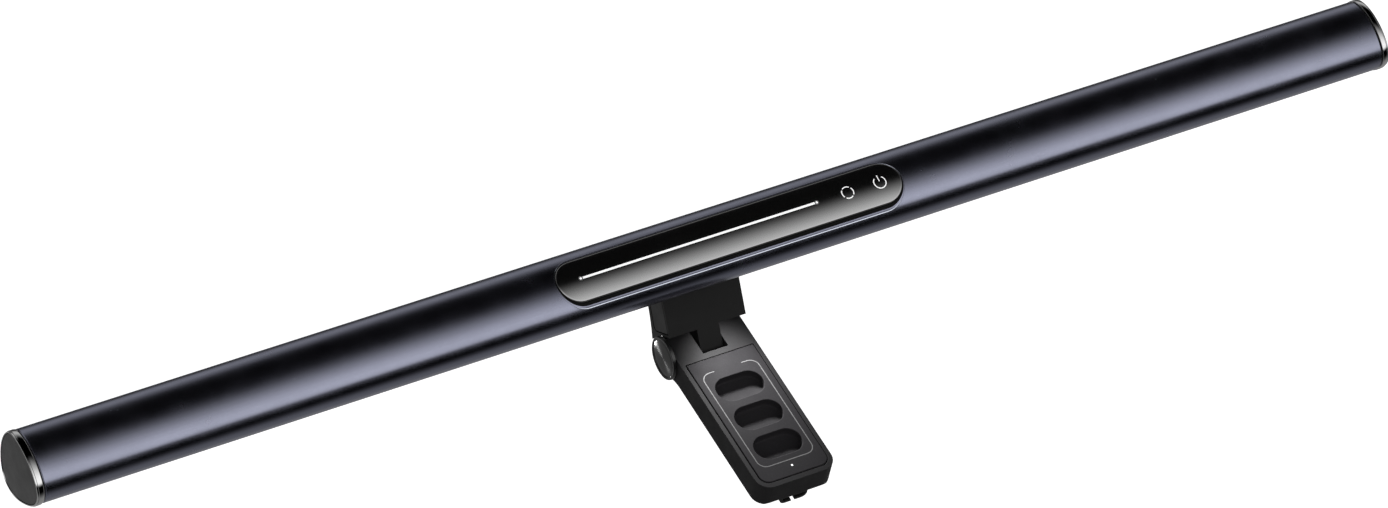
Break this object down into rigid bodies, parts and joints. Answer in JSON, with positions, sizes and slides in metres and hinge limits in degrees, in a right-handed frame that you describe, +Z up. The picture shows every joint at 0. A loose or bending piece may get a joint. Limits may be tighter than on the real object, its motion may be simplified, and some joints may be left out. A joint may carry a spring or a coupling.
{
  "type": "monitor light bar",
  "caption": "Long rounded lamp bar with a touch panel, on a bracket that hooks over a monitor top edge, with a padded friction-hinged leg behind.",
  "frame": {"origin": "middle of the seat, the flat underside of the pad that rests on the monitor's top edge", "axes": "+X along the lamp bar, to the right for the person at the desk; -Y towards that person; +Z up"},
  "size_m": [0.45, 0.0546, 0.088],
  "materials": {
    "anodised_aluminium": "fine satin anodising, dark blue-grey",
    "diffuser": "frosted white diffuser",
    "circuit_board": "green solder mask",
    "reflector": "white reflector",
    "raw_aluminium": "mill finish",
    "touch_panel_gloss": "piano black",
    "light_guide": "milky light guide",
    "socket_steel": "bright stamped shell",
    "bracket_plastic": "fine matt texture, near black",
    "screw_steel": "dark zinc",
    "silicone": "soft matt silicone, warm grey",
    "hinge_steel": "turned steel",
    "end_plate_plastic": "matt dark grey",
    "end_ring_gloss": "gloss black with a bright edge",
    "hinge_cap_black": "gloss black, spun concentric finish",
    "leg_plastic": "satin dark grey"
  },
  "bodies": {
    "lamp": {"bar_extrusion": "anodised_aluminium", "diffuser_lens": "diffuser", "led_board": "circuit_board", "reflector": "reflector", "led_carrier": "raw_aluminium", "touch_panel": "touch_panel_gloss", "slider_light_guide": "light_guide", "touch_board": "circuit_board", "driver_board": "circuit_board", "usb_c_socket": "socket_steel", "usb_bezel": "bracket_plastic", "bracket": "bracket_plastic", "neck_side_cover_left": "bracket_plastic", "neck_side_cover_right": "bracket_plastic", "neck_rear_cover": "bracket_plastic", "rear_cover_screw_1": "screw_steel", "rear_cover_screw_2": "screw_steel", "mount_plate": "screw_steel", "mount_screw_1": "screw_steel", "mount_screw_2": "screw_steel", "seat_pad": "silicone", "lip_pad": "silicone", "hinge_shaft": "hinge_steel", "thrust_washer": "hinge_steel", "friction_washer_left": "hinge_steel", "friction_washer_right": "hinge_steel", "spring_washer": "hinge_steel", "hinge_nut": "hinge_steel", "end_plug_left": "end_plate_plastic", "end_ring_left": "end_ring_gloss", "end_plate_left": "end_plate_plastic", "end_plug_right": "end_plate_plastic", "end_ring_right": "end_ring_gloss", "end_plate_right": "end_plate_plastic", "end_screw_1": "screw_steel", "end_screw_2": "screw_steel", "end_screw_3": "screw_steel", "end_screw_4": "screw_steel"},
    "leg": {"hinge_cap_left": "hinge_cap_black", "hinge_cap_right": "hinge_cap_black", "leg_shell": "leg_plastic", "leg_pad": "silicone", "counterweight": "hinge_steel", "leg_back_cover": "leg_plastic", "cable_clip": "bracket_plastic", "leg_screw_1": "screw_steel", "leg_screw_2": "screw_steel", "leg_screw_3": "screw_steel", "leg_screw_4": "screw_steel"}
  },
  "joints": [
    {"name": "leg_pivot", "type": "hinge", "parent": "lamp", "child": "leg", "pos_m": [0, 0.0092, -0.0269], "axis": [1, 0, 0], "range_deg": [-30, 120]}
  ]
}
